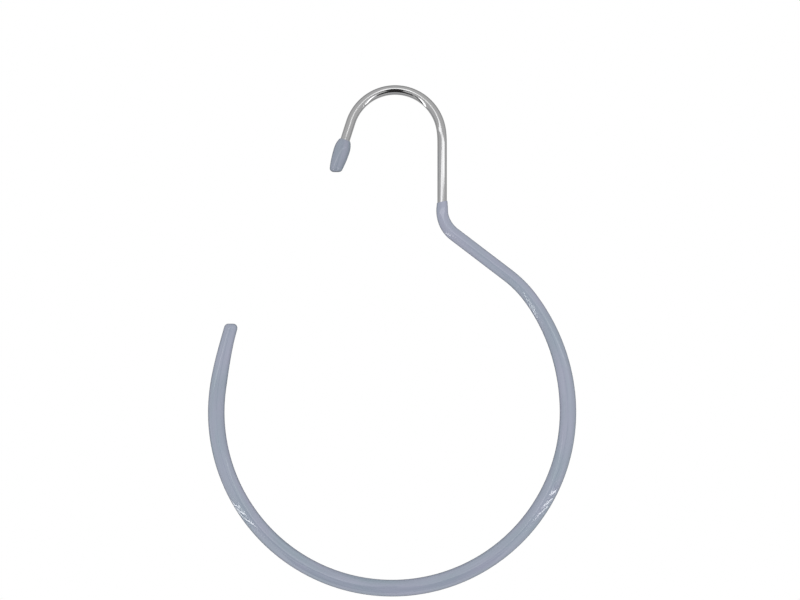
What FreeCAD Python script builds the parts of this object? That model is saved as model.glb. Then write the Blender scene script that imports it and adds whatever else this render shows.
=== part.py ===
import FreeCAD, Part
import os
from math import asin, degrees, radians

import Sketcher

# Scarf hanger: one bent steel wire, a dipped plastic coat on its open ring, and a dipped cap on its hook.
# The hanger lies in the XZ plane. The rail runs along Y, and the origin is where the hook rests on it.

# Driving sizes, in millimetres and degrees.
SIZES = {
    "wire_diameter": 4.5,
    # Hook, from its cap to the stem.
    "hook_bare_length": 8.8,
    "hook_flare": 17.8,
    "hook_radius": 22.0,
    "stem_length": 29.8,
    # Neck, from the dip line to the ring.
    "coated_stem_length": 4.8,
    "neck_bend_radius": 14.5,
    "neck_slope": 37.3,
    "shoulder_radius": 55.0,
    "shoulder_turn": 17.0,
    "flank_radius": 91.0,
    # Ring, left open between its free tip and the neck.
    "ring_radius": 83.0,
    "ring_offset": 1.6,
    "ring_end_rise": 8.2,
    "tip_radius": 210.0,
    "tip_turn": 7.7,
    # Coat: how far it stands out from the wire at each place, and its two ends.
    "lip_wall": 0.2,
    "stem_wall": 0.5,
    "neck_wall": 0.9,
    "ring_wall": 1.6,
    "tip_wall": 0.85,
    "tip_end_wall": 0.4,
    "tip_cover": 4.0,
    "tip_rounding": 2.0,
    "dip_line_tilt": 12.0,
    # Cap on the end of the hook.
    "cap_seat": 12.0,
    "cap_cover": 5.2,
    "cap_mouth_wall": 0.35,
    "cap_widest_wall": 1.55,
    "cap_widest_depth": 4.9,
    "cap_end_taper": 1.5,
    "cap_rounding": 1.7,
    # Radial room between the wire and what is moulded on it.
    "coat_clearance": 0.02,
}

# Runs of the wire's centreline, from the end of the hook to the free tip of the ring.
RUNS = (
    "hook_end",
    "hook",
    "bare_stem",
    "coated_stem",
    "neck_bend",
    "neck",
    "shoulder",
    "flank",
    "ring",
    "tip",
    "tip_cover",
)

# Stretches of the coat: name, first and last run as they are drawn, and the wall at each end.
COAT_STRETCHES = (
    ("ring", "ring", "ring", "ring_wall", "ring_wall"),
    ("flank", "flank", "shoulder", "ring_wall", "neck_wall"),
    ("neck", "neck", "neck", "neck_wall", "neck_wall"),
    ("bend", "neck_bend", "neck_bend", "stem_wall", "neck_wall"),
    ("stem", "coated_stem", "coated_stem", "stem_wall", "lip_wall"),
    ("tip", "tip", "tip", "tip_wall", "ring_wall"),
    ("tip_cover", "tip_cover", "tip_cover", "tip_wall", "tip_end_wall"),
)

# The most that a rim's rounding may take of the width of its flat, so that some of the flat is left.
ROUNDING_SHARE = 0.4

# The sketcher's numbers for the places on an element, for its own axes and for the one that bears the origin.
START, END, CENTRE = range(1, 4)
LEVEL, UPRIGHT = range(-1, -3, -1)
ORIGIN = LEVEL


def point(x, y):
    return FreeCAD.Vector(x, y, 0)


def polar(length, angle):
    return FreeCAD.Rotation(FreeCAD.Vector(0, 0, 1), angle).multVec(point(length, 0))


def line(start, end):
    return Part.LineSegment(start, end)


def arc(centre, radius, first_angle, last_angle):
    circle = Part.Circle(centre, FreeCAD.Vector(0, 0, 1), radius)
    return Part.ArcOfCircle(circle, radians(first_angle), radians(last_angle))


def coat_diameter(wall):
    return f"Sizes.wire_diameter + 2 * Sizes.{wall}"


def make_sheet(doc):
    """Puts every driving size in the sheet, under its own name."""
    sheet = doc.addObject("Spreadsheet::Sheet", "Sizes")
    for row, (name, value) in enumerate(SIZES.items(), 1):
        sheet.set(f"A{row}", name)
        sheet.set(f"B{row}", str(value))
        sheet.setAlias(f"B{row}", name)
    doc.recompute()
    return sheet


def make_body(doc, name):
    body = doc.addObject("PartDesign::Body", name)
    body.Label = name
    return body


def plane_sketch(body, name, role):
    """Makes a sketch on one of the body's own planes."""
    sketch = body.newObject("Sketcher::SketchObject", name)
    plane = next(feature for feature in body.Origin.OriginFeatures if feature.Role == role)
    sketch.AttachmentSupport = [(plane, "")]
    sketch.MapMode = "FlatFace"
    return sketch


def bind(sketch, name, expression, kind, *places):
    """Adds a dimension to a sketch and ties it to the sheet."""
    value = float(sketch.evalExpression(expression))
    if kind == "Angle":
        value = radians(value)
    sketch.addConstraint(Sketcher.Constraint(kind, *places, value))
    sketch.renameConstraint(sketch.ConstraintCount - 1, name)
    sketch.setExpression(f"Constraints.{name}", expression)


def centreline_elements(sheet):
    """Works out the lines and arcs of the wire's centreline, each tangent to the next."""
    neck_normal = 90 - sheet.neck_slope
    flank_turn = neck_normal - sheet.shoulder_turn
    ring_turn = 180 - sheet.ring_end_rise
    tip_turn = ring_turn - sheet.tip_turn
    hook_turn = 180 - sheet.hook_flare

    hook_centre = point(0, sheet.wire_diameter / 2 - sheet.hook_radius)
    hook_arc_end = hook_centre + polar(sheet.hook_radius, hook_turn)
    wire_hook_end = hook_arc_end - polar(sheet.hook_bare_length + sheet.cap_seat, hook_turn - 90)
    stem_top = hook_centre + point(sheet.hook_radius, 0)
    dip_line = stem_top - point(0, sheet.stem_length)
    bend_top = dip_line - point(0, sheet.coated_stem_length)
    bend_centre = bend_top + point(sheet.neck_bend_radius, 0)
    bend_bottom = bend_centre + polar(sheet.neck_bend_radius, 180 + neck_normal)

    # From the ring's centre to the end of its shoulder, and so how far the neck has to reach across.
    ring_to_flank = point(sheet.ring_radius - sheet.flank_radius, 0)
    flank_to_shoulder = polar(sheet.flank_radius - sheet.shoulder_radius, flank_turn)
    ring_to_neck = ring_to_flank + flank_to_shoulder + polar(sheet.shoulder_radius, neck_normal)
    neck_way = polar(1, -sheet.neck_slope)
    neck_length = (ring_to_neck.x - sheet.ring_offset - bend_bottom.x) / neck_way.x
    shoulder_end = bend_bottom + neck_way * neck_length

    ring_centre = shoulder_end - ring_to_neck
    flank_centre = ring_centre + ring_to_flank
    shoulder_centre = flank_centre + flank_to_shoulder
    tip_centre = ring_centre + polar(sheet.ring_radius - sheet.tip_radius, ring_turn)
    wire_tip = tip_centre + polar(sheet.tip_radius, tip_turn)
    coat_tip = wire_tip + polar(sheet.tip_cover, tip_turn - 90)

    return {
        "hook_end": line(wire_hook_end, hook_arc_end),
        "hook": arc(hook_centre, sheet.hook_radius, 0, hook_turn),
        "bare_stem": line(dip_line, stem_top),
        "coated_stem": line(bend_top, dip_line),
        "neck_bend": arc(bend_centre, sheet.neck_bend_radius, 180, 180 + neck_normal),
        "neck": line(shoulder_end, bend_bottom),
        "shoulder": arc(shoulder_centre, sheet.shoulder_radius, flank_turn, neck_normal),
        "flank": arc(flank_centre, sheet.flank_radius, 0, flank_turn),
        "ring": arc(ring_centre, sheet.ring_radius, ring_turn, 360),
        "tip": arc(tip_centre, sheet.tip_radius, tip_turn, ring_turn),
        "tip_cover": line(wire_tip, coat_tip),
    }


def draw_centreline(body, sheet):
    """Draws the wire's whole centreline as one fully constrained sketch."""
    sketch = plane_sketch(body, f"{body.Label}_centreline", "XZ_Plane")
    elements = centreline_elements(sheet)
    run = {name: sketch.addGeometry(elements[name]) for name in RUNS}

    joints = (
        ("hook_end", END, "hook", END),
        ("hook", START, "bare_stem", END),
        ("bare_stem", START, "coated_stem", END),
        ("coated_stem", START, "neck_bend", START),
        ("neck_bend", END, "neck", END),
        ("neck", START, "shoulder", END),
        ("shoulder", START, "flank", END),
        ("flank", START, "ring", END),
        ("ring", START, "tip", END),
        ("tip", START, "tip_cover", START),
    )
    for one, one_place, other, other_place in joints:
        sketch.addConstraint(Sketcher.Constraint("Tangent", run[one], one_place, run[other], other_place))
    sketch.addConstraint(Sketcher.Constraint("Vertical", run["bare_stem"]))
    sketch.addConstraint(Sketcher.Constraint("PointOnObject", run["hook"], CENTRE, UPRIGHT))
    sketch.addConstraint(Sketcher.Constraint("Horizontal", run["ring"], CENTRE, run["ring"], END))

    for name in ("hook", "neck_bend", "shoulder", "flank", "ring", "tip"):
        bind(sketch, f"{name}_radius", f"Sizes.{name}_radius", "Radius", run[name])
    lengths = {
        "hook_end": "Sizes.hook_bare_length + Sizes.cap_seat",
        "bare_stem": "Sizes.stem_length",
        "coated_stem": "Sizes.coated_stem_length",
        "tip_cover": "Sizes.tip_cover",
    }
    for name, length in lengths.items():
        bind(sketch, f"{name}_length", length, "Distance", run[name])
    angles = {
        "hook_end": "(90 - Sizes.hook_flare) * 1 deg",
        "neck": "(180 - Sizes.neck_slope) * 1 deg",
        "shoulder": "Sizes.shoulder_turn * 1 deg",
        "tip": "Sizes.tip_turn * 1 deg",
        "tip_cover": "(90 - Sizes.ring_end_rise - Sizes.tip_turn) * 1 deg",
    }
    for name, angle in angles.items():
        bind(sketch, f"{name}_angle", angle, "Angle", run[name])
    hook_depth = "Sizes.hook_radius - Sizes.wire_diameter / 2"
    bind(sketch, "hook_depth", hook_depth, "DistanceY", run["hook"], CENTRE, ORIGIN, START)
    bind(sketch, "ring_offset", "Sizes.ring_offset", "DistanceX", run["ring"], CENTRE, ORIGIN, START)
    body.Document.recompute()
    return sketch


def edge_name(centreline, run_name):
    """Finds the edge that a run has become in the drawn centreline, by its middle."""
    element = centreline.Geometry[RUNS.index(run_name)]
    middle = element.value((element.FirstParameter + element.LastParameter) / 2)
    spot = Part.Vertex(centreline.Placement.multVec(middle))
    distances = [found.distToShape(spot)[0] for found in centreline.Shape.Edges]
    return f"Edge{distances.index(min(distances)) + 1}"


def end_name(centreline, run_name):
    """Finds the corner of the drawn centreline where a run ends."""
    element = centreline.Geometry[RUNS.index(run_name)]
    spot = centreline.Placement.multVec(element.EndPoint)
    distances = [found.Point.distanceToPoint(spot) for found in centreline.Shape.Vertexes]
    return f"Vertex{distances.index(min(distances)) + 1}"


def runs_between(first_run, last_run):
    first, last = sorted((RUNS.index(first_run), RUNS.index(last_run)))
    return RUNS[first:last + 1]


def round_section(body, name, centreline, run_name, place, diameter):
    """Draws a circle square to the centreline, at a place from 0 to 1 along one of its runs.

    On an arc the circle faces the arc's centre, so that the two sections of a stretch line up.
    """
    on_arc = isinstance(centreline.Geometry[RUNS.index(run_name)], Part.ArcOfCircle)
    sketch = body.newObject("Sketcher::SketchObject", name)
    sketch.AttachmentSupport = [(centreline, edge_name(centreline, run_name))]
    sketch.MapMode = "FrenetNB" if on_arc else "NormalToEdge"
    sketch.MapPathParameter = place
    circle = sketch.addGeometry(Part.Circle(point(0, 0), FreeCAD.Vector(0, 0, 1), 1))
    sketch.addConstraint(Sketcher.Constraint("Coincident", circle, CENTRE, ORIGIN, START))
    bind(sketch, "diameter", diameter, "Diameter", circle)
    return sketch


def make_pipe(body, kind, name, centreline, runs, sections):
    """Sweeps a section along runs of the centreline, changing it into a second one if two are given."""
    pipe = body.newObject(f"PartDesign::{kind}", name)
    pipe.Profile = sections[0]
    pipe.Spine = (centreline, [edge_name(centreline, run_name) for run_name in runs])
    if len(sections) > 1:
        pipe.Transformation = "Multisection"
        pipe.Sections = [(section, [""]) for section in sections[1:]]


def end_sketch(body, name, centreline, run_name):
    """Makes a sketch in the plane of the hanger, with its origin at the end of a run."""
    sketch = body.newObject("Sketcher::SketchObject", name)
    sketch.AttachmentSupport = [(centreline, end_name(centreline, run_name))]
    sketch.MapMode = "Translate"
    sketch.Placement = FreeCAD.Placement(point(0, 0), FreeCAD.Rotation(FreeCAD.Vector(1, 0, 0), 90))
    return sketch


def trim_end(body, sketch, width, drop, tilt):
    """Cuts an end off above a line that passes below the sketch's origin, and checks that it did."""
    low_left, low_right, high_right, high_left = point(-1, -1), point(1, -1), point(1, 1), point(-1, 1)
    cut = sketch.addGeometry(line(low_left, low_right))
    right = sketch.addGeometry(line(low_right, high_right))
    top = sketch.addGeometry(line(high_right, high_left))
    left = sketch.addGeometry(line(high_left, low_left))
    for one, other in ((cut, right), (right, top), (top, left), (left, cut)):
        sketch.addConstraint(Sketcher.Constraint("Coincident", one, END, other, START))
    sketch.addConstraint(Sketcher.Constraint("Vertical", right))
    sketch.addConstraint(Sketcher.Constraint("Horizontal", top))
    sketch.addConstraint(Sketcher.Constraint("Vertical", left))
    bind(sketch, "left_reach", width, "DistanceX", left, START, ORIGIN, START)
    bind(sketch, "right_reach", width, "DistanceX", ORIGIN, START, right, START)
    bind(sketch, "height", width, "DistanceY", ORIGIN, START, top, START)
    bind(sketch, "left_drop", f"{drop} + ({width}) * tan({tilt})", "DistanceY", cut, START, ORIGIN, START)
    bind(sketch, "right_drop", f"{drop} - ({width}) * tan({tilt})", "DistanceY", cut, END, ORIGIN, START)

    body.Document.recompute()
    before = body.Shape.Volume
    pocket = body.newObject("PartDesign::Pocket", f"{sketch.Label}_cut")
    pocket.Profile = sketch
    pocket.SideType = "Symmetric"
    pocket.setExpression("Length", f"2 * ({width})")
    body.Document.recompute()
    if not body.Shape.Volume < before:
        raise RuntimeError(f"{pocket.Label} removed nothing")


def round_end(body, sketch, rounding, width):
    """Rounds the rim of the flat, of about that width, that a cut has left by its sketch's origin."""
    cut = body.Tip
    spot = Part.Vertex(sketch.Placement.Base)
    flats = [number for number, face in enumerate(cut.Shape.Faces) if isinstance(face.Surface, Part.Plane)]
    nearest = min(flats, key=lambda number: cut.Shape.Faces[number].distToShape(spot)[0])
    fillet = body.newObject("PartDesign::Fillet", f"{sketch.Label}_rounding")
    fillet.Base = (cut, [f"Face{nearest + 1}"])
    fillet.setExpression("Radius", f"min(Sizes.{rounding}; {ROUNDING_SHARE} * ({width}))")


def make_wire(doc, sheet):
    """The one bent wire: hook, stem and neck, and the core of the ring inside its coat."""
    body = make_body(doc, "wire")
    centreline = draw_centreline(body, sheet)
    section = round_section(body, "wire_section", centreline, "hook_end", 0, "Sizes.wire_diameter")
    make_pipe(body, "AdditivePipe", "wire_sweep", centreline, runs_between("hook_end", "tip"), [section])
    return body


def make_ring_sleeve(doc, sheet):
    """The dipped coat: a thin lip on the stem, thicker round the ring, closed over the free tip."""
    body = make_body(doc, "ring_sleeve")
    centreline = draw_centreline(body, sheet)
    for name, first_run, last_run, first_wall, last_wall in COAT_STRETCHES:
        ends = [(first_run, 0, first_wall)]
        if last_wall != first_wall:
            ends.append((last_run, 1, last_wall))
        sections = [
            round_section(body, f"{name}_{wall}", centreline, run_name, place, coat_diameter(wall))
            for run_name, place, wall in ends
        ]
        runs = runs_between(first_run, last_run)
        make_pipe(body, "AdditivePipe", f"{name}_coat", centreline, runs, sections)

    bore = round_section(body, "bore_section", centreline, "tip", 0, coat_diameter("coat_clearance"))
    make_pipe(body, "SubtractivePipe", "bore", centreline, runs_between("coated_stem", "tip"), [bore])

    # The edge of the coat runs aslant round the stem, as the level of the dip left it.
    lip = coat_diameter("lip_wall")
    dip_line = end_sketch(body, "dip_line", centreline, "coated_stem")
    slant = "(Sizes.dip_line_tilt * 1 deg)"
    trim_end(body, dip_line, lip, f"({lip}) * tan({slant})", slant)

    # The free tip leans, but ends in a level flat with a soft rim.
    tip = coat_diameter("tip_end_wall")
    lean = "((Sizes.ring_end_rise + Sizes.tip_turn) * 1 deg)"
    tip_end = end_sketch(body, "tip_end", centreline, "tip_cover")
    trim_end(body, tip_end, tip, f"({tip}) * sin({lean})", "0 deg")
    round_end(body, tip_end, "tip_rounding", tip)
    return body


def bulge_radius(step, run):
    """Radius of an arc that starts along the axis and steps in towards it over a run."""
    return (step ** 2 + run ** 2) / (2 * step)


def draw_cap_profile(body, sheet):
    """Draws half of the cap's section: its mouth at the origin, its axis upright, its closed end below."""
    wire_radius = sheet.wire_diameter / 2
    bore = wire_radius + sheet.coat_clearance
    mouth = wire_radius + sheet.cap_mouth_wall
    widest = wire_radius + sheet.cap_widest_wall
    end = widest - sheet.cap_end_taper
    depth = sheet.cap_widest_depth
    length = sheet.cap_seat + sheet.cap_cover
    upper_radius = bulge_radius(widest - mouth, depth)
    lower_radius = bulge_radius(widest - end, length - depth)
    upper_turn = degrees(asin(depth / upper_radius))
    lower_turn = degrees(asin((length - depth) / lower_radius))

    sketch = plane_sketch(body, "cap_profile", "XZ_Plane")
    mouth_rim = sketch.addGeometry(line(point(mouth, 0), point(bore, 0)))
    bore_wall = sketch.addGeometry(line(point(bore, 0), point(bore, -sheet.cap_seat)))
    bore_end = sketch.addGeometry(line(point(bore, -sheet.cap_seat), point(0, -sheet.cap_seat)))
    axis = sketch.addGeometry(line(point(0, -sheet.cap_seat), point(0, -length)))
    closed_end = sketch.addGeometry(line(point(0, -length), point(end, -length)))
    lower = sketch.addGeometry(arc(point(widest - lower_radius, -depth), lower_radius, -lower_turn, 0))
    upper = sketch.addGeometry(arc(point(widest - upper_radius, -depth), upper_radius, 0, upper_turn))

    outline = (mouth_rim, bore_wall, bore_end, axis, closed_end, lower)
    for one, other in zip(outline, outline[1:]):
        sketch.addConstraint(Sketcher.Constraint("Coincident", one, END, other, START))
    sketch.addConstraint(Sketcher.Constraint("Tangent", lower, END, upper, START))
    sketch.addConstraint(Sketcher.Constraint("Coincident", upper, END, mouth_rim, START))
    sketch.addConstraint(Sketcher.Constraint("Horizontal", lower, CENTRE, lower, END))
    for level in (mouth_rim, bore_end, closed_end):
        sketch.addConstraint(Sketcher.Constraint("Horizontal", level))
    for upright in (bore_wall, axis):
        sketch.addConstraint(Sketcher.Constraint("Vertical", upright))
    sketch.addConstraint(Sketcher.Constraint("PointOnObject", mouth_rim, START, LEVEL))
    sketch.addConstraint(Sketcher.Constraint("PointOnObject", axis, START, UPRIGHT))

    wire = "Sizes.wire_diameter / 2"
    radii = {
        "bore_radius": (f"{wire} + Sizes.coat_clearance", bore_wall, START),
        "mouth_radius": (f"{wire} + Sizes.cap_mouth_wall", mouth_rim, START),
        "widest_radius": (f"{wire} + Sizes.cap_widest_wall", lower, END),
        "end_radius": (f"{wire} + Sizes.cap_widest_wall - Sizes.cap_end_taper", closed_end, END),
    }
    for name, (expression, element, place) in radii.items():
        bind(sketch, name, expression, "DistanceX", ORIGIN, START, element, place)
    depths = {
        "seat": ("Sizes.cap_seat", bore_wall, END),
        "widest_depth": ("Sizes.cap_widest_depth", lower, END),
        "length": ("Sizes.cap_seat + Sizes.cap_cover", axis, END),
    }
    for name, (expression, element, place) in depths.items():
        bind(sketch, name, expression, "DistanceY", element, place, ORIGIN, START)
    return sketch


def make_hook_tip_cap(doc, sheet):
    """The dipped cap: a bulb on the end of the hook, widest near its mouth, with a level flat below."""
    body = make_body(doc, "hook_tip_cap")
    profile = draw_cap_profile(body, sheet)
    bulb = body.newObject("PartDesign::Revolution", "bulb")
    bulb.Profile = profile
    bulb.ReferenceAxis = (profile, ["V_Axis"])

    flare = "(Sizes.hook_flare * 1 deg)"
    end_diameter = "(Sizes.wire_diameter + 2 * Sizes.cap_widest_wall - 2 * Sizes.cap_end_taper)"
    cap_end = plane_sketch(body, "cap_end", "XZ_Plane")
    half_turn = FreeCAD.Rotation(FreeCAD.Vector(0, 0, 1), 180)
    cap_end.AttachmentOffset = FreeCAD.Placement(point(0, 0), half_turn)
    cap_end.setExpression("AttachmentOffset.Base.y", "-(Sizes.cap_seat + Sizes.cap_cover)")
    trim_end(body, cap_end, end_diameter, f"{end_diameter} * tan({flare})", flare)
    round_end(body, cap_end, "cap_rounding", end_diameter)

    # The mouth sits on the straight end of the hook, and the cap's axis follows that end.
    body.Placement = FreeCAD.Placement(point(0, 0), FreeCAD.Rotation(FreeCAD.Vector(0, 1, 0), 1))
    radius, bare = "Sizes.hook_radius", "Sizes.hook_bare_length"
    body.setExpression("Placement.Rotation.Angle", flare)
    body.setExpression("Placement.Base.x", f"-{radius} * cos({flare}) - {bare} * sin({flare})")
    hook_arc_end = f"Sizes.wire_diameter / 2 - {radius} + {radius} * sin({flare})"
    body.setExpression("Placement.Base.z", f"{hook_arc_end} - {bare} * cos({flare})")
    return body


def check(doc, bodies):
    failed = [item.Label for item in doc.Objects if {"Invalid", "Error"} & set(item.State)]
    if failed:
        raise RuntimeError(f"failed: {failed}")
    for body in bodies:
        if body.Shape.isNull() or not body.Shape.isValid() or len(body.Shape.Solids) != 1:
            raise RuntimeError(f"{body.Label} is not one valid solid")


def main():
    doc = FreeCAD.newDocument("scarf_hanger")
    sheet = make_sheet(doc)
    bodies = [make_wire(doc, sheet), make_ring_sleeve(doc, sheet), make_hook_tip_cap(doc, sheet)]
    doc.recompute()
    check(doc, bodies)
    os.makedirs("parts", exist_ok=True)
    for body in bodies:
        body.Shape.exportStep(f"parts/{body.Label}.step")
        print(f"{body.Label}: {body.Shape.Volume:.1f} cubic millimetres")


main()
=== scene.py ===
from math import atan, cos, degrees, pi, radians, sin, sqrt, tan

import bmesh
import bpy
from mathutils import Matrix, Vector


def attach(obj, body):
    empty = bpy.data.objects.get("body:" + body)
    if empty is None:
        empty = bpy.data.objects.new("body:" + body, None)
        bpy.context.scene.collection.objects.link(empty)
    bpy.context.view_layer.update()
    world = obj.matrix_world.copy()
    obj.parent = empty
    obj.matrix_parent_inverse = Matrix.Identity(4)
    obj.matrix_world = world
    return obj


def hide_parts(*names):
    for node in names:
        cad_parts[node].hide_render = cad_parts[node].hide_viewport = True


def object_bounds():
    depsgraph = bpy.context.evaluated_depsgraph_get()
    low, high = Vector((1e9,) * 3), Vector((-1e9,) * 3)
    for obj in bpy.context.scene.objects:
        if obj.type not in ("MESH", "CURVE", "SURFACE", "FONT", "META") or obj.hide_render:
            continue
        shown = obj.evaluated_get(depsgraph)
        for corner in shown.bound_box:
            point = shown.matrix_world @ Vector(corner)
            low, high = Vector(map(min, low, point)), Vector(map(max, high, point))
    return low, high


# Scarf hanger: one bent chrome wire, a dipped vinyl coat on its open ring and a dipped cap on its hook.
# It lies in the XZ plane and faces -Y. Lengths are in metres and angles in degrees.

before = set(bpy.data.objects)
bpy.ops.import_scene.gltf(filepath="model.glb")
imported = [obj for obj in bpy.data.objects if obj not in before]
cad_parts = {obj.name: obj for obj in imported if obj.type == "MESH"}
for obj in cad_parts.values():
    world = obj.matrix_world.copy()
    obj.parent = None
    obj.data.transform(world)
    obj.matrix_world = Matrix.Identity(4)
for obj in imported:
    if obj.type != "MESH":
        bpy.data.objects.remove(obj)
cad_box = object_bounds()

MM = 0.001

# The bent wire, from the capped end of its hook to the free tip of its ring.
WIRE_RADIUS = 2.25 * MM
WIRE_END_BREAK = 0.3 * MM
HOOK_BARE_LENGTH = 8.8 * MM
HOOK_FLARE = 17.8
HOOK_RADIUS = 22.0 * MM
HOOK_EASING = 5.0 * MM
STEM_LENGTH = 29.8 * MM
COATED_STEM_LENGTH = 4.8 * MM
NECK_BEND_RADIUS = 14.5 * MM
NECK_SLOPE = 37.3
SHOULDER_RADIUS = 55.0 * MM
SHOULDER_TURN = 17.0
FLANK_RADIUS = 91.0 * MM
RING_RADIUS = 83.0 * MM
RING_OFFSET = 1.6 * MM
RING_END_RISE = 8.2
TIP_RADIUS = 210.0 * MM
TIP_TURN = 7.7

# The coat: how far it stands out from the wire at each place, and its two ends.
LIP_WALL = 0.2 * MM
STEM_WALL = 0.5 * MM
NECK_WALL = 0.9 * MM
RING_WALL = 1.6 * MM
TIP_WALL = 0.85 * MM
TIP_END_WALL = 0.4 * MM
TIP_COVER = 4.0 * MM
TIP_ROUNDING = 2.0 * MM
DIP_LINE_TILT = 12.0

# The cap on the end of the hook.
CAP_SEAT = 12.0 * MM
CAP_COVER = 5.2 * MM
CAP_MOUTH_WALL = 0.35 * MM
CAP_WIDEST_WALL = 1.55 * MM
CAP_WIDEST_DEPTH = 4.9 * MM
CAP_END_TAPER = 1.5 * MM
CAP_ROUNDING = 1.7 * MM

# Radial room between the wire and what is moulded on it.
COAT_CLEARANCE = 0.02 * MM

# How uneven a dipped surface is, and its waves: length along the piece, waves round it, and start.
COAT_UNEVENNESS = 0.010 * MM
COAT_WAVES = ((5.1 * MM, 1, 0.0), (8.7 * MM, -2, 1.3), (14.3 * MM, 3, 0.4))

# How finely the pieces are divided.
SIDES = 48
ROW_SPACING = 0.6 * MM
HIDDEN_ROW_SPACING = 3.0 * MM
ROUNDING_ROWS = 9
ROUNDING_REFINEMENTS = 6
FLAT_ROWS = 4
EASING_STEPS = 10
LEAN_FADE = 7.0 * MM

# The photograph's frame: its size in pixels, one pixel's length and where the hook's centre is in it.
IMAGE_WIDTH = 800
IMAGE_HEIGHT = 600
PIXEL = 0.472 * MM
HOOK_CENTRE_PIXEL = (395.5, 136.62)
CAMERA_DISTANCE = 0.62
SENSOR_WIDTH = 36.0

# Finishes: how bright the vinyl is on the coat and on the cap, and the part of a noise that is used.
COAT_SHADE = 1.0
CAP_SHADE = 0.865
NOISE_LOW = 0.3
NOISE_HIGH = 0.7

# The studio: where its lamps, boards and card stand, and how bright they are.
TENT_CENTRE = Vector((0, 0, -0.12))
TENT_REACH = 1.0
FLOOR_BRIGHTNESS = 1.0
STRIP_BRIGHTNESS = 7.0
BROAD_BRIGHTNESS = 2.4
BOARD_BRIGHTNESS = 0.02
CARD_BRIGHTNESS = 0.03
BOARD_GAP = 12 * MM
BOARD_STEPS = 1.7
STRIP_FACING_RISE = 0.15
CARD_GAP = 0.04

HOOK_CENTRE = Vector((0, 0, WIRE_RADIUS - HOOK_RADIUS))
FORWARD = Vector((0, 1, 0))
SIDEWAYS = Vector((1, 0, 0))


def polar(length, angle):
    """A vector in the plane of the hanger."""
    return Vector((length * cos(radians(angle)), 0, length * sin(radians(angle))))


def smooth_step(value, low, high):
    share = min(1.0, max(0.0, (value - low) / (high - low)))
    return share * share * (3 - 2 * share)


class Centreline:
    """Straight runs and arcs, one after another, in the plane of the hanger."""

    def __init__(self, start, heading):
        self.runs = []
        self.length = 0.0
        self.end = start
        self.heading = heading

    def at(self, distance):
        """The point at that distance along the line, and the heading there."""
        found = self.runs[0]
        for run in self.runs:
            if run[0] <= distance:
                found = run
        start, point, heading, bend = found
        along = distance - start
        if bend == 0:
            return point + polar(along, heading), heading
        new_heading = heading + bend * along
        radius = degrees(1 / bend)
        return point + polar(radius, new_heading - 90) - polar(radius, heading - 90), new_heading

    def add(self, length, turn=0.0):
        """Adds a run that turns by so many degrees, and returns how far along the line it ends."""
        self.runs.append((self.length, self.end, self.heading, turn / length))
        self.length += length
        self.end, self.heading = self.at(self.length)
        return self.length

    def add_arc(self, radius, turn):
        return self.add(radius * radians(abs(turn)), turn)

    def add_easing(self, bend, length):
        """Adds a run in which a bend, in degrees for each metre, fades out."""
        step_length = length / EASING_STEPS
        for step in range(EASING_STEPS):
            fade = 1 - (step + 0.5) / EASING_STEPS
            self.add(step_length, bend * fade * step_length)


def make_wire_line():
    """The centreline of the wire and of the coat past its tip, with the places that matter along it."""
    hook_turn = 180 - HOOK_FLARE
    end_length = HOOK_BARE_LENGTH + CAP_SEAT
    # The hook's bend fades out over the end of its arc and as much of the stem. Such a bend ends further
    # outwards, so it starts that much further inwards.
    eased_turn = degrees(HOOK_EASING / HOOK_RADIUS)
    outwards = polar(HOOK_EASING ** 2 / (6 * HOOK_RADIUS), 0)
    arc_start = HOOK_CENTRE - outwards + polar(HOOK_RADIUS, hook_turn)
    start = arc_start - polar(end_length, hook_turn - 90)
    line = Centreline(start, hook_turn - 90)
    place = {}
    line.add(end_length)
    line.add_arc(HOOK_RADIUS, eased_turn - hook_turn)
    line.add_easing(-eased_turn / HOOK_EASING, 2 * HOOK_EASING)
    place["dip_line"] = line.add(STEM_LENGTH - HOOK_EASING)
    place["bend"] = line.add(COATED_STEM_LENGTH)
    place["neck"] = line.add_arc(NECK_BEND_RADIUS, 90 - NECK_SLOPE)

    # The neck is as long as it takes for the ring to come under the hook.
    steep = NECK_SLOPE + SHOULDER_TURN
    shoulder_reach = SHOULDER_RADIUS * (sin(radians(steep)) - sin(radians(NECK_SLOPE)))
    flank_reach = FLANK_RADIUS * (1 - sin(radians(steep)))
    ring_side = RING_RADIUS - RING_OFFSET
    neck_reach = ring_side - flank_reach - shoulder_reach - line.end.x
    place["shoulder"] = line.add(neck_reach / cos(radians(NECK_SLOPE)))
    line.add_arc(SHOULDER_RADIUS, -SHOULDER_TURN)
    place["ring"] = line.add_arc(FLANK_RADIUS, steep - 90)
    place["ring_end"] = line.add_arc(RING_RADIUS, -180 - RING_END_RISE)
    place["wire_tip"] = line.add_arc(TIP_RADIUS, -TIP_TURN)
    place["coat_tip"] = line.add(TIP_COVER)
    return line, place


def level_lean(heading):
    """How far a cut that is level leans from one that is square to that heading."""
    return degrees(atan(-1 / tan(radians(heading))))


def rows_between(first, last, spacing):
    """Distances from first to last, both included, about the spacing apart."""
    count = max(1, round(abs(last - first) / spacing))
    return [first + (last - first) * step / count for step in range(count + 1)]


def leaning_row(distance, radius, lean=0.0):
    """A row of a sweep: a ring of that radius, in a plane that leans from square by so many degrees."""

    def row(cosine):
        return distance + radius * cosine * tan(radians(lean)), radius

    return row


def rim_rows(distance, inner, outer, lean=0.0):
    """A rounded rim at the start of a coat, from its bore to its outside."""
    middle, half = (inner + outer) / 2, (outer - inner) / 2
    angles = [pi * step / ROUNDING_ROWS for step in range(1, ROUNDING_ROWS)]
    return [leaning_row(distance + half * (1 - sin(q)), middle - half * cos(q), lean) for q in angles]


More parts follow.
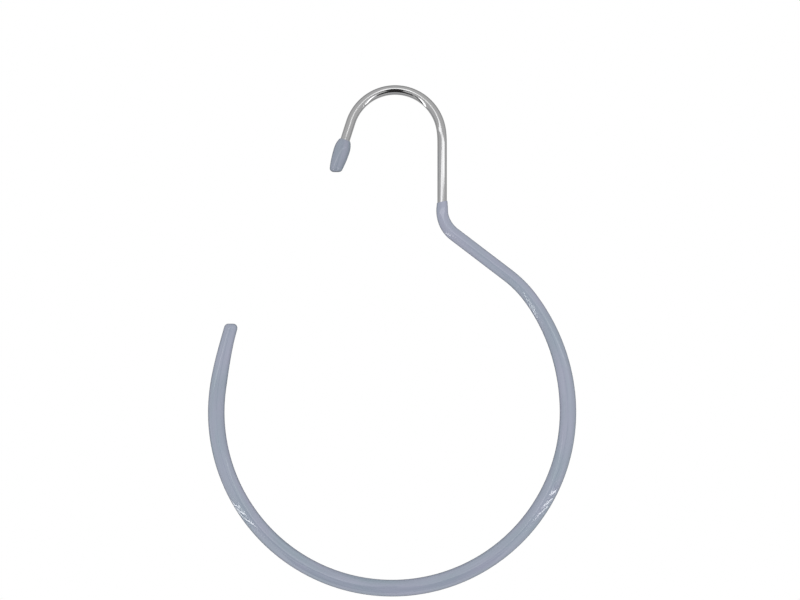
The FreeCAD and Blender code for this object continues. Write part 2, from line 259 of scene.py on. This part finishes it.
class RoundedEnd:
    """A flat closed end that leans, with a rounding that runs smoothly from the wall into the flat."""

    def __init__(self, outside, distance, rounding, lean):
        self.outside = outside
        self.distance = distance
        self.rounding = rounding
        self.slope = tan(radians(lean))

    def start(self, cosine):
        """Where the rounding leaves the wall on that side, and how far the wall turns in there."""
        slant = cosine * self.slope
        along = self.distance
        for _ in range(ROUNDING_REFINEMENTS):
            turn = atan((self.outside(along - ROW_SPACING) - self.outside(along)) / ROW_SPACING)
            centre = self.outside(along) - self.rounding * cos(turn)
            along = self.distance + slant * centre + self.rounding * (sin(turn) - sqrt(1 + slant ** 2))
        return along, turn

    def wall_row(self, distance):
        """A row of the wall, shifted near the end so that the last one is where the rounding starts."""
        square_start = self.start(0)[0]
        fade = smooth_step(distance, square_start - LEAN_FADE, square_start)

        def row(cosine):
            along = distance + fade * (self.start(cosine)[0] - square_start)
            return along, self.outside(along)

        return row

    def rim_row(self, share):
        """A row of the rounding, that share of the way from the wall to the flat."""

        def row(cosine):
            along, turn = self.start(cosine)
            last_turn = pi / 2 + atan(cosine * self.slope)
            here = turn + (last_turn - turn) * share
            radius = self.outside(along) + self.rounding * (cos(here) - cos(turn))
            return along + self.rounding * (sin(here) - sin(turn)), radius

        return row

    def flat_row(self, share):
        """A row of the flat, that share of its radius from the middle."""
        edge = self.rim_row(1)

        def row(cosine):
            radius = share * edge(cosine)[1]
            return self.distance + radius * cosine * self.slope, radius

        return row

    def rows(self):
        rim = [self.rim_row(step / ROUNDING_ROWS) for step in range(1, ROUNDING_ROWS + 1)]
        return rim + [self.flat_row(1 - step / FLAT_ROWS) for step in range(1, FLAT_ROWS + 1)]


def uneven(along, angle):
    """A slow swell of a dipped surface, between -1 and 1."""
    waves = [sin(along / length + around * angle + start) for length, around, start in COAT_WAVES]
    return sum(waves) / len(COAT_WAVES)


def sweep(name, line, rows, unevenness=0.0):
    """Makes one closed piece of rings along a line.

    A row gives, for the cosine of the angle round the line, a distance along it and a radius. One with
    no radius closes an end. Each point keeps its place on the straight, unbent piece, for the textures.
    """
    vertices, unbent, rings = [], [], []
    for row in rows:
        ring = []
        for side in range(SIDES if row(1)[1] else 1):
            angle = 2 * pi * side / SIDES
            here, radius = row(cos(angle))
            spot, heading = line.at(here)
            swollen = radius + unevenness * uneven(here, angle) * min(1.0, radius / WIRE_RADIUS)
            outward = polar(cos(angle), heading + 90) + Vector((0, sin(angle), 0))
            ring.append(len(vertices))
            vertices.append(spot + outward * (swollen if radius else 0))
            unbent.extend((here, radius * cos(angle), radius * sin(angle)))
        rings.append(ring)

    faces = []
    for ring, following in zip(rings, rings[1:]):
        for side in range(SIDES):
            beside = (side + 1) % SIDES
            corners = [ring[side % len(ring)], ring[beside % len(ring)]]
            corners += [following[beside % len(following)], following[side % len(following)]]
            faces.append(list(dict.fromkeys(corners)))

    mesh = bpy.data.meshes.new(name)
    mesh.from_pydata(vertices, [], faces)
    attribute = mesh.attributes.new("unbent", "FLOAT_VECTOR", "POINT")
    attribute.data.foreach_set("vector", unbent)
    work = bmesh.new()
    work.from_mesh(mesh)
    bmesh.ops.recalc_face_normals(work, faces=work.faces)
    work.to_mesh(mesh)
    work.free()
    mesh.shade_smooth()
    piece = bpy.data.objects.new(name, mesh)
    bpy.context.scene.collection.objects.link(piece)
    return piece


def make_wire(line, place):
    """The bent wire, with the sharp edge of its cut ends broken."""
    last = place["wire_tip"]
    inset = WIRE_RADIUS - WIRE_END_BREAK
    rows = [leaning_row(0, 0), leaning_row(0, inset)]
    for along in rows_between(WIRE_END_BREAK, last - WIRE_END_BREAK, ROW_SPACING):
        rows.append(leaning_row(along, WIRE_RADIUS))
    rows += [leaning_row(last, inset), leaning_row(last, 0)]
    return sweep("bent_wire", line, rows)


def make_coat(line, place):
    """The dipped coat: a thin lip on the stem, thicker round the ring, closed over the free tip."""
    walls = (
        (place["dip_line"], LIP_WALL),
        (place["bend"], STEM_WALL),
        (place["neck"], NECK_WALL),
        (place["shoulder"], NECK_WALL),
        (place["ring"], RING_WALL),
        (place["ring_end"], RING_WALL),
        (place["wire_tip"], TIP_WALL),
        (place["coat_tip"], TIP_END_WALL),
    )

    def outside(along):
        for (start, start_wall), (end, end_wall) in zip(walls, walls[1:]):
            if along <= end:
                break
        return WIRE_RADIUS + start_wall + (end_wall - start_wall) * smooth_step(along, start, end)

    bore = WIRE_RADIUS + COAT_CLEARANCE
    lip_width = 2 * (WIRE_RADIUS + LIP_WALL)
    lip = place["dip_line"] + lip_width * tan(radians(DIP_LINE_TILT))
    tip_lean = level_lean(line.at(place["coat_tip"])[1])
    tip_width = 2 * (WIRE_RADIUS + TIP_END_WALL)
    tip_middle = place["coat_tip"] - tip_width * tan(radians(abs(tip_lean)))
    tip = RoundedEnd(outside, tip_middle, TIP_ROUNDING, tip_lean)

    def lean(along):
        return DIP_LINE_TILT * (smooth_step(along, lip, lip + LEAN_FADE) - 1)

    rim = (outside(lip) - bore) / 2
    inside = rows_between(place["wire_tip"], lip + LEAN_FADE, HIDDEN_ROW_SPACING)
    inside += rows_between(lip + LEAN_FADE, lip + rim, ROW_SPACING)[1:]
    rows = [leaning_row(place["wire_tip"], 0)]
    rows += [leaning_row(along, bore, lean(along)) for along in inside]
    rows += rim_rows(lip, bore, outside(lip), -DIP_LINE_TILT)
    for along in rows_between(lip + rim, lip + LEAN_FADE, ROW_SPACING):
        rows.append(leaning_row(along, outside(along), lean(along)))
    for along in rows_between(lip + LEAN_FADE, tip.start(0)[0], ROW_SPACING)[1:]:
        rows.append(tip.wall_row(along))
    return sweep("dipped_coat", line, rows + tip.rows(), COAT_UNEVENNESS)


def make_cap(line):
    """The dipped cap: a bulb on the end of the hook, widest near its mouth, with a level flat below."""
    bore = WIRE_RADIUS + COAT_CLEARANCE
    mouth = WIRE_RADIUS + CAP_MOUTH_WALL
    widest = WIRE_RADIUS + CAP_WIDEST_WALL
    end = widest - CAP_END_TAPER
    length = CAP_SEAT + CAP_COVER
    mouth_point, heading = line.at(CAP_SEAT)
    axis = Centreline(mouth_point, heading + 180)
    axis.add(length)
    end_lean = level_lean(axis.heading)
    bottom_middle = length - 2 * end * tan(radians(abs(end_lean)))

    def bulge(step, run, away):
        """How far an arc has come in, that distance from the widest place, if it steps in over the run."""
        radius = (step ** 2 + run ** 2) / (2 * step)
        return radius - sqrt(radius ** 2 - away ** 2)

    def outside(along):
        if along < CAP_WIDEST_DEPTH:
            return widest - bulge(widest - mouth, CAP_WIDEST_DEPTH, CAP_WIDEST_DEPTH - along)
        return widest - bulge(CAP_END_TAPER, length - CAP_WIDEST_DEPTH, along - CAP_WIDEST_DEPTH)

    bottom = RoundedEnd(outside, bottom_middle, CAP_ROUNDING, end_lean)
    rim = (mouth - bore) / 2
    rows = [leaning_row(CAP_SEAT, 0)]
    rows += [leaning_row(along, bore) for along in rows_between(CAP_SEAT, rim, HIDDEN_ROW_SPACING)]
    rows += rim_rows(0, bore, mouth)
    rows += [bottom.wall_row(along) for along in rows_between(rim, bottom.start(0)[0], ROW_SPACING / 2)]
    return sweep("hook_cap", axis, rows + bottom.rows(), COAT_UNEVENNESS)


class Finish:
    """A node material whose textures follow a piece as if it were not bent."""

    def __init__(self, name):
        self.material = bpy.data.materials.new(name)
        self.material.use_nodes = True
        self.nodes = self.material.node_tree.nodes
        self.links = self.material.node_tree.links
        self.shader = self.nodes["Principled BSDF"]
        self.unbent = self.nodes.new("ShaderNodeAttribute")
        self.unbent.attribute_name = "unbent"

    def set(self, **values):
        for name, value in values.items():
            self.shader.inputs[name.replace("_", " ").title().replace("Ior", "IOR")].default_value = value

    def noise(self, along, around, detail=3.0):
        """Noise with features of that length along the piece and that width around it."""
        stretch = self.nodes.new("ShaderNodeMapping")
        stretch.inputs["Scale"].default_value = (1 / along, 1 / around, 1 / around)
        self.links.new(self.unbent.outputs["Vector"], stretch.inputs["Vector"])
        noise = self.nodes.new("ShaderNodeTexNoise")
        noise.inputs["Scale"].default_value = 1.0
        noise.inputs["Detail"].default_value = detail
        self.links.new(stretch.outputs["Vector"], noise.inputs["Vector"])
        return noise.outputs["Fac"]

    def ramp(self, factor, low, high):
        """Turns a noise into a colour between two others."""
        ramp = self.nodes.new("ShaderNodeValToRGB")
        first, last = ramp.color_ramp.elements
        first.position = NOISE_LOW
        first.color = (*low, 1)
        last.position = NOISE_HIGH
        last.color = (*high, 1)
        self.links.new(factor, ramp.inputs["Fac"])
        return ramp.outputs["Color"]

    def span(self, factor, low, high):
        """Turns a noise into a number between two others."""
        span = self.nodes.new("ShaderNodeMapRange")
        span.inputs["From Min"].default_value = NOISE_LOW
        span.inputs["From Max"].default_value = NOISE_HIGH
        span.inputs["To Min"].default_value = low
        span.inputs["To Max"].default_value = high
        self.links.new(factor, span.inputs["Value"])
        return span.outputs["Result"]

    def multiply(self, first, second):
        mix = self.nodes.new("ShaderNodeMix")
        mix.data_type = "RGBA"
        mix.blend_type = "MULTIPLY"
        mix.inputs["Factor"].default_value = 1.0
        self.links.new(first, mix.inputs["A"])
        self.links.new(second, mix.inputs["B"])
        return mix.outputs["Result"]

    def bump(self, height, depth, below=None):
        """Raises the surface by a noise of that depth, on top of another bump."""
        bump = self.nodes.new("ShaderNodeBump")
        bump.inputs["Strength"].default_value = 1.0
        bump.inputs["Distance"].default_value = depth
        self.links.new(height, bump.inputs["Height"])
        if below:
            self.links.new(below, bump.inputs["Normal"])
        return bump.outputs["Normal"]

    def link(self, output, name):
        self.links.new(output, self.shader.inputs[name])


def chrome():
    """Bright chrome on drawn wire: fine lines along its length and slow waves from the plating."""
    finish = Finish("bright_chrome")
    finish.set(metallic=1.0)
    draw_lines = finish.noise(along=18 * MM, around=0.25 * MM)
    waves = finish.noise(along=14 * MM, around=5 * MM, detail=1.0)
    haze = finish.noise(along=30 * MM, around=3 * MM)
    finish.link(finish.ramp(haze, low=(0.60, 0.60, 0.61), high=(0.69, 0.69, 0.69)), "Base Color")
    finish.link(finish.span(draw_lines, low=0.04, high=0.09), "Roughness")
    surface = finish.bump(waves, depth=0.012 * MM)
    finish.link(finish.bump(draw_lines, depth=0.0006 * MM, below=surface), "Normal")
    return finish.material


def vinyl(name, shade):
    """Dipped vinyl, blue grey: flow lines along its length, faint clouds and a glossy skin."""
    finish = Finish(name)
    finish.set(coat_weight=1.0, coat_roughness=0.06, coat_ior=1.8, ior=1.48, specular_ior_level=0.2)
    clouds = finish.noise(along=22 * MM, around=5 * MM)
    flow_lines = finish.noise(along=34 * MM, around=1.6 * MM, detail=4.0)
    swells = finish.noise(along=9 * MM, around=3 * MM, detail=1.0)
    peel = finish.noise(along=0.9 * MM, around=0.7 * MM, detail=2.0)
    body = finish.ramp(clouds, low=(0.299, 0.358, 0.431), high=(0.350, 0.370, 0.473))
    darker = [share * shade for share in (0.87, 0.875, 0.885)]
    streaks = finish.ramp(flow_lines, low=darker, high=(shade, shade, shade))
    finish.link(finish.multiply(body, streaks), "Base Color")
    finish.link(finish.span(flow_lines, low=0.20, high=0.30), "Roughness")
    skin = finish.bump(swells, depth=0.002 * MM)
    finish.link(skin, "Coat Normal")
    finish.link(finish.bump(peel, depth=0.0012 * MM, below=skin), "Normal")
    return finish.material


def dress(piece, node, material):
    """Gives a piece its finish and puts it in the place of its solid."""
    piece.data.materials.append(material)
    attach(piece, "root")
    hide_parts(node)


def plain_material(name, brightness):
    """A grey that looks the same in any light, for the floor, the boards and the card."""
    material = bpy.data.materials.new(name)
    material.use_nodes = True
    shader = material.node_tree.nodes["Principled BSDF"]
    shader.inputs["Base Color"].default_value = (0, 0, 0, 1)
    shader.inputs["Specular IOR Level"].default_value = 0
    shader.inputs["Emission Color"].default_value = (1, 1, 1, 1)
    shader.inputs["Emission Strength"].default_value = brightness
    return material


def seen_by(thing, *rays):
    """Leaves a light or a stage piece visible only to these kinds of ray."""
    for ray in ("camera", "diffuse", "glossy", "transmission", "volume_scatter", "shadow"):
        setattr(thing, f"visible_{ray}", ray in rays)


def add_stage_mesh(name, vertices, faces, material):
    mesh = bpy.data.meshes.new(name)
    mesh.from_pydata(vertices, [], faces)
    mesh.materials.append(material)
    mesh.shade_smooth()
    thing = bpy.data.objects.new(name, mesh)
    bpy.context.scene.collection.objects.link(thing)
    return thing


def make_cove(floor_level):
    """A plain pale floor that runs up into a wall all round, with no corner to be seen."""
    middle_radius, floor_radius, curve_radius, wall_height = 0.01, 3.0, 1.5, 6.0
    segments, curve_steps = 64, 12
    profile = [(middle_radius, 0), (floor_radius, 0)]
    for step in range(1, curve_steps + 1):
        angle = pi / 2 * step / curve_steps
        profile.append((floor_radius + curve_radius * sin(angle), curve_radius * (1 - cos(angle))))
    profile.append((floor_radius + curve_radius, wall_height))
    vertices = []
    for radius, height in profile:
        for segment in range(segments):
            turn = 2 * pi * segment / segments
            vertices.append((radius * cos(turn), radius * sin(turn), floor_level + height))
    faces = [tuple(range(segments))]
    for row in range(len(profile) - 1):
        for segment in range(segments):
            beside = (segment + 1) % segments
            low, high = row * segments, (row + 1) * segments
            faces.append((low + segment, low + beside, high + beside, high + segment))
    pale = plain_material("pale_floor", FLOOR_BRIGHTNESS)
    cove = add_stage_mesh("floor_cove", vertices, faces, pale)
    seen_by(cove, "camera")


def add_panel(name, centre, facing, along, width, height, brightness):
    """A rectangular lamp at a place, facing a way, with its width along a given direction."""
    lamp = bpy.data.lights.new(name, "AREA")
    lamp.shape = "RECTANGLE"
    lamp.size = width
    lamp.size_y = height
    lamp.energy = brightness * pi * width * height
    thing = bpy.data.objects.new(name, lamp)
    back = -facing.normalized()
    across = (along - back * along.dot(back)).normalized()
    rotation = Matrix((across, back.cross(across), back)).transposed()
    thing.matrix_world = Matrix.Translation(centre) @ rotation.to_4x4()
    bpy.context.scene.collection.objects.link(thing)
    return thing


def only_on(lamp, *pieces):
    """Lets a lamp reach these pieces alone."""
    reached = bpy.data.collections.new(f"{lamp.name}_reaches")
    for piece in pieces:
        reached.objects.link(piece)
    lamp.light_linking.receiver_collection = reached


def make_tent():
    """Even soft light from all round, which nothing mirrors."""
    sides = {
        "front": (FORWARD, SIDEWAYS, 0.46),
        "back": (-FORWARD, SIDEWAYS, 0.75),
        "left": (SIDEWAYS, FORWARD, 0.37),
        "right": (-SIDEWAYS, FORWARD, 0.37),
        "top": (Vector((0, 0, -1)), SIDEWAYS, 0.44),
        "bottom": (Vector((0, 0, 1)), SIDEWAYS, 0.36),
    }
    size = 2 * TENT_REACH
    for name, (facing, along, brightness) in sides.items():
        centre = TENT_CENTRE - facing * TENT_REACH
        panel = add_panel(f"tent_{name}", centre, facing, along, size, size, brightness)
        seen_by(panel, "diffuse", "shadow")


def make_front_lamps(wire):
    """A long low band and a tall lamp in front of the hook, which draw the white lines on its chrome."""
    band = add_panel(
        "band",
        centre=Vector((0, -1.2, 0.080)),
        facing=FORWARD,
        along=Vector((1, 0, 0.07)),
        width=4.2,
        height=0.11,
        brightness=0.90,
    )
    seen_by(band, "diffuse", "glossy", "shadow")
    tall = add_panel(
        "tall",
        centre=Vector((0, -1.1, 0.45)),
        facing=Vector((0, 1, -0.4)),
        along=SIDEWAYS,
        width=0.36,
        height=0.66,
        brightness=0.9,
    )
    seen_by(tall, "glossy", "shadow")
    only_on(tall, wire)


def make_rear_lamps(wire):
    """Two panels behind, one in front of the other, so that the chrome is bright from behind too."""
    # Each has its depth, width and brightness.
    panels = {"rear_wide": (1.1, 5.0, 0.16), "rear": (1.2, 2.0, 0.35)}
    for name, (depth, width, brightness) in panels.items():
        rear = add_panel(
            name,
            centre=Vector((0, depth, -0.1)),
            facing=-FORWARD,
            along=SIDEWAYS,
            width=width,
            height=2.2,
            brightness=brightness,
        )
        seen_by(rear, "glossy", "shadow")
        only_on(rear, wire)


def make_strips(side, wire, coated, board_material, middle, step, along, reach, width, broad_width):
    """Three thin lamps, low at one side, a step apart, in front of a dark board.

    They run in depth, along a direction, between two depths. Only the coated pieces mirror them: the wire
    mirrors one broad lamp in their place.
    """
    front, back = reach
    centre = middle + along * ((front + back) / 2 - middle.y)
    half_along = along * (back - front) / 2
    length = 2 * half_along.length
    inward = Vector((-middle.x, 0, STRIP_FACING_RISE))
    facing = inward - along * (inward.dot(along) / along.length_squared)
    for number in range(-1, 2):
        name = f"strip_{side}_{number + 2}"
        strip = add_panel(name, centre + step * number, facing, along, length, width, STRIP_BRIGHTNESS)
        seen_by(strip, "glossy", "shadow")
        only_on(strip, *coated)

    backwards = -facing.normalized() * BOARD_GAP
    name = f"broad_{side}"
    broad = add_panel(name, centre + backwards / 2, facing, along, length, broad_width, BROAD_BRIGHTNESS)
    seen_by(broad, "glossy", "shadow")
    only_on(broad, wire)

    behind = centre + backwards
    spread = step * BOARD_STEPS
    corners = [
        behind - half_along - spread,
        behind + half_along - spread,
        behind + half_along + spread,
        behind - half_along + spread,
    ]
    board = add_stage_mesh(f"board_{side}", corners, [(0, 1, 2, 3)], board_material)
    seen_by(board, "glossy")


def make_lights(wire, coated):
    """All the lamps, from the even soft light to the thin strips at the sides."""
    make_tent()
    make_front_lamps(wire)
    make_rear_lamps(wire)
    dark = plain_material("dark_board", BOARD_BRIGHTNESS)
    make_strips(
        "left",
        wire,
        coated,
        dark,
        middle=Vector((-0.404, -0.12, -0.451)),
        step=Vector((0.079, 0, 0.034)),
        along=Vector((-0.37, 1, -0.19)),
        reach=(-0.55, 0.30),
        width=12 * MM,
        broad_width=0.14,
    )
    make_strips(
        "right",
        wire,
        coated,
        dark,
        middle=Vector((0.42, -0.12, -0.42)),
        step=Vector((0, 0, -0.030)),
        along=Vector((0.32, 1, -0.10)),
        reach=(-0.70, -0.04),
        width=7 * MM,
        broad_width=0.11,
    )


def make_card():
    """A dark card behind the camera, which the chrome mirrors over the top of the hook."""
    depth = -CAMERA_DISTANCE - CARD_GAP
    # Its heights from the top down, each with half its width there.
    narrow_part = ((0.25, 0.020), (0.10, 0.016), (0.0, 0.020), (-0.10, 0.035))
    spreading_part = ((-0.37, 0.08), (-0.50, 0.24), (-1.40, 0.75))
    outline = narrow_part + spreading_part
    corners = [(-half_width, depth, height) for height, half_width in outline]
    corners += [(half_width, depth, height) for height, half_width in reversed(outline)]
    dark = plain_material("dark_card", CARD_BRIGHTNESS)
    card = add_stage_mesh("dark_card", corners, [tuple(range(len(corners)))], dark)
    seen_by(card, "glossy")


def make_world():
    """Soft grey surroundings, brighter in front of the hanger than behind it."""
    world = bpy.data.worlds.new("studio")
    bpy.context.scene.world = world
    world.use_nodes = True
    nodes, links = world.node_tree.nodes, world.node_tree.links
    way = nodes.new("ShaderNodeTexCoord")
    parts = nodes.new("ShaderNodeSeparateXYZ")
    share = nodes.new("ShaderNodeMapRange")
    ramp = nodes.new("ShaderNodeValToRGB")
    share.inputs["From Min"].default_value = -1
    share.inputs["From Max"].default_value = 1
    # The greys between have their places from front, 0, to back, 1.
    front_grey, back_grey = 0.58, 0.04
    greys_between = ((0.42, 0.56), (0.62, 0.44), (0.80, 0.20))
    stops = ramp.color_ramp.elements
    stops[0].color = (front_grey, front_grey, front_grey, 1)
    stops[1].color = (back_grey, back_grey, back_grey, 1)
    for position, grey in greys_between:
        stop = stops.new(position)
        stop.color = (grey, grey, grey, 1)
    links.new(way.outputs["Generated"], parts.inputs["Vector"])
    links.new(parts.outputs["Y"], share.inputs["Value"])
    links.new(share.outputs["Result"], ramp.inputs["Fac"])
    links.new(ramp.outputs["Color"], nodes["Background"].inputs["Color"])


def make_camera():
    """Looks straight at the hanger, framed as in the photograph."""
    camera = bpy.data.cameras.new("camera")
    camera.sensor_width = SENSOR_WIDTH
    camera.sensor_fit = "HORIZONTAL"
    camera.lens = SENSOR_WIDTH * CAMERA_DISTANCE / (IMAGE_WIDTH * PIXEL)
    camera.clip_start = 10 * MM
    thing = bpy.data.objects.new("camera", camera)
    right = (IMAGE_WIDTH / 2 - HOOK_CENTRE_PIXEL[0]) * PIXEL
    down = (IMAGE_HEIGHT / 2 - HOOK_CENTRE_PIXEL[1]) * PIXEL
    thing.location = HOOK_CENTRE + Vector((right, -CAMERA_DISTANCE, -down))
    thing.rotation_euler = (radians(90), 0, 0)
    bpy.context.scene.collection.objects.link(thing)
    bpy.context.scene.camera = thing


wire_line, wire_place = make_wire_line()
wire_piece = make_wire(wire_line, wire_place)
dress(wire_piece, "wire", chrome())
coat_piece = make_coat(wire_line, wire_place)
dress(coat_piece, "ring_sleeve", vinyl("coat_vinyl", COAT_SHADE))
cap_piece = make_cap(wire_line)
dress(cap_piece, "hook_tip_cap", vinyl("cap_vinyl", CAP_SHADE))

make_cove(cad_box[0].z)
make_world()
make_lights(wire_piece, (coat_piece, cap_piece))
make_card()
make_camera()
bpy.context.scene.view_settings.view_transform = "Standard"
